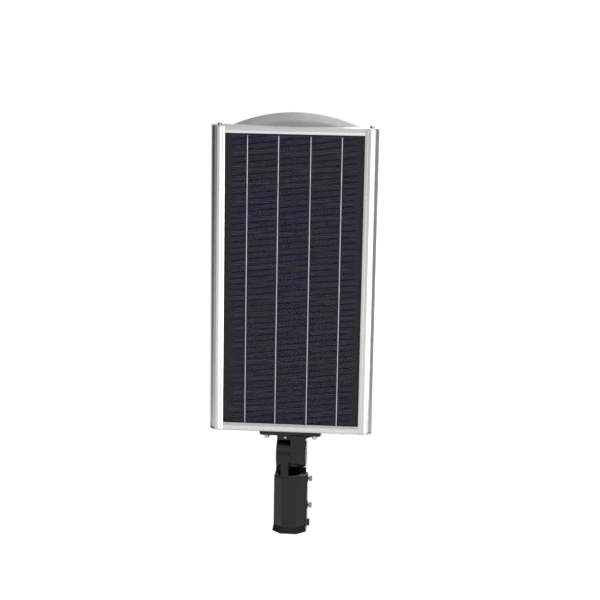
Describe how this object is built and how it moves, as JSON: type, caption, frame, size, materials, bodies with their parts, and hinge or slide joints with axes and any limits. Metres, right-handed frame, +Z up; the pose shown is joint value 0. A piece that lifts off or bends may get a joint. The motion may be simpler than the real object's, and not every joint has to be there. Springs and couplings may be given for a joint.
{
  "type": "solar street lamp",
  "caption": "Flat all-in-one solar street lamp head with a silver frame and arched nose, on a tilting black pole sleeve.",
  "frame": {"origin": "centre of the pole sleeve's open mouth, on the pole's axis", "axes": "+Z up the pole towards the lamp's nose, -Y the solar panel's side, +Y the light's side, +X to the right as the panel is seen"},
  "size_m": [0.34, 0.082, 0.8739],
  "materials": {
    "anodised_rail": "satin anodised",
    "end_plate": "satin",
    "zinc_steel": "bright zinc",
    "dull_steel": "dull",
    "stainless": "satin",
    "panel_glass": "low-iron, clear",
    "cell_silicon": "dark blue-black silicon",
    "ribbon_tin": "tinned",
    "black_laminate": "black film",
    "black_rubber": "matt",
    "grey_rubber": "matt",
    "black_plastic": "moulded",
    "cast_housing": "fine satin grey",
    "led_board": "white solder mask",
    "led_chip": "yellow phosphor",
    "clear_lens": "clear polycarbonate",
    "battery_wrap": "heat-shrink",
    "green_board": "solder mask",
    "controller_alu": "satin",
    "lead_sheath": "flexible",
    "red_sheath": "flexible",
    "sensor_white": "milky",
    "status_lens": "tinted",
    "black_powder_coat": "satin powder coat"
  },
  "bodies": {
    "sleeve": {"pole_sleeve": "black_powder_coat", "pivot_bolt": "dull_steel", "pivot_nut": "zinc_steel"},
    "head": {"left_rail": "anodised_rail", "right_rail": "anodised_rail", "top_bar": "anodised_rail", "bottom_bar": "anodised_rail", "top_end_plate": "end_plate", "bottom_end_plate": "end_plate", "end_plate_screws": "zinc_steel", "panel_glass": "panel_glass", "solar_cells": "cell_silicon", "busbar_ribbons": "ribbon_tin", "panel_backsheet": "black_laminate", "panel_seal": "black_rubber", "junction_box": "black_plastic", "rear_housing": "cast_housing", "housing_screws": "zinc_steel", "led_board": "led_board", "led_chips": "led_chip", "lens_gasket": "grey_rubber", "lens_plate": "clear_lens", "lens_screws": "zinc_steel", "battery_cells": "battery_wrap", "battery_holder": "black_plastic", "protection_board": "green_board", "cover_gasket": "grey_rubber", "battery_cover": "cast_housing", "battery_cover_screws": "zinc_steel", "controller_case": "controller_alu", "controller_lid": "controller_alu", "controller_board": "green_board", "panel_lead": "lead_sheath", "led_lead": "lead_sheath", "battery_lead": "red_sheath", "sensor_dome": "sensor_white", "sensor_ring": "black_plastic", "sensor_board": "green_board", "switch_body": "stainless", "button_spring": "stainless", "switch_nut": "zinc_steel", "status_light": "status_lens", "mounting_flange": "black_powder_coat", "backing_plate": "zinc_steel", "flange_bolts": "zinc_steel", "flange_washers": "zinc_steel", "flange_nuts": "zinc_steel", "earth_screw": "zinc_steel"},
    "button": {"power_button": "black_rubber"},
    "lower_screw": {"lower_clamp_screw": "zinc_steel"},
    "upper_screw": {"upper_clamp_screw": "zinc_steel"}
  },
  "joints": [
    {"name": "head_tilt", "type": "hinge", "parent": "sleeve", "child": "head", "pos_m": [0, 0, 0.166], "axis": [-1, 0, 0], "range_deg": [0, 90]},
    {"name": "power_press", "type": "slide", "parent": "head", "child": "button", "axis": [0, -1, 0], "range_m": [0, 0.0015], "stiffness_N_per_m": 900, "deforming": ["button_spring"]},
    {"name": "lower_clamp_travel", "type": "slide", "parent": "sleeve", "child": "lower_screw", "axis": [-1, 0, 0], "range_m": [0, 0.002]},
    {"name": "upper_clamp_travel", "type": "slide", "parent": "sleeve", "child": "upper_screw", "axis": [-1, 0, 0], "range_m": [0, 0.002]}
  ]
}
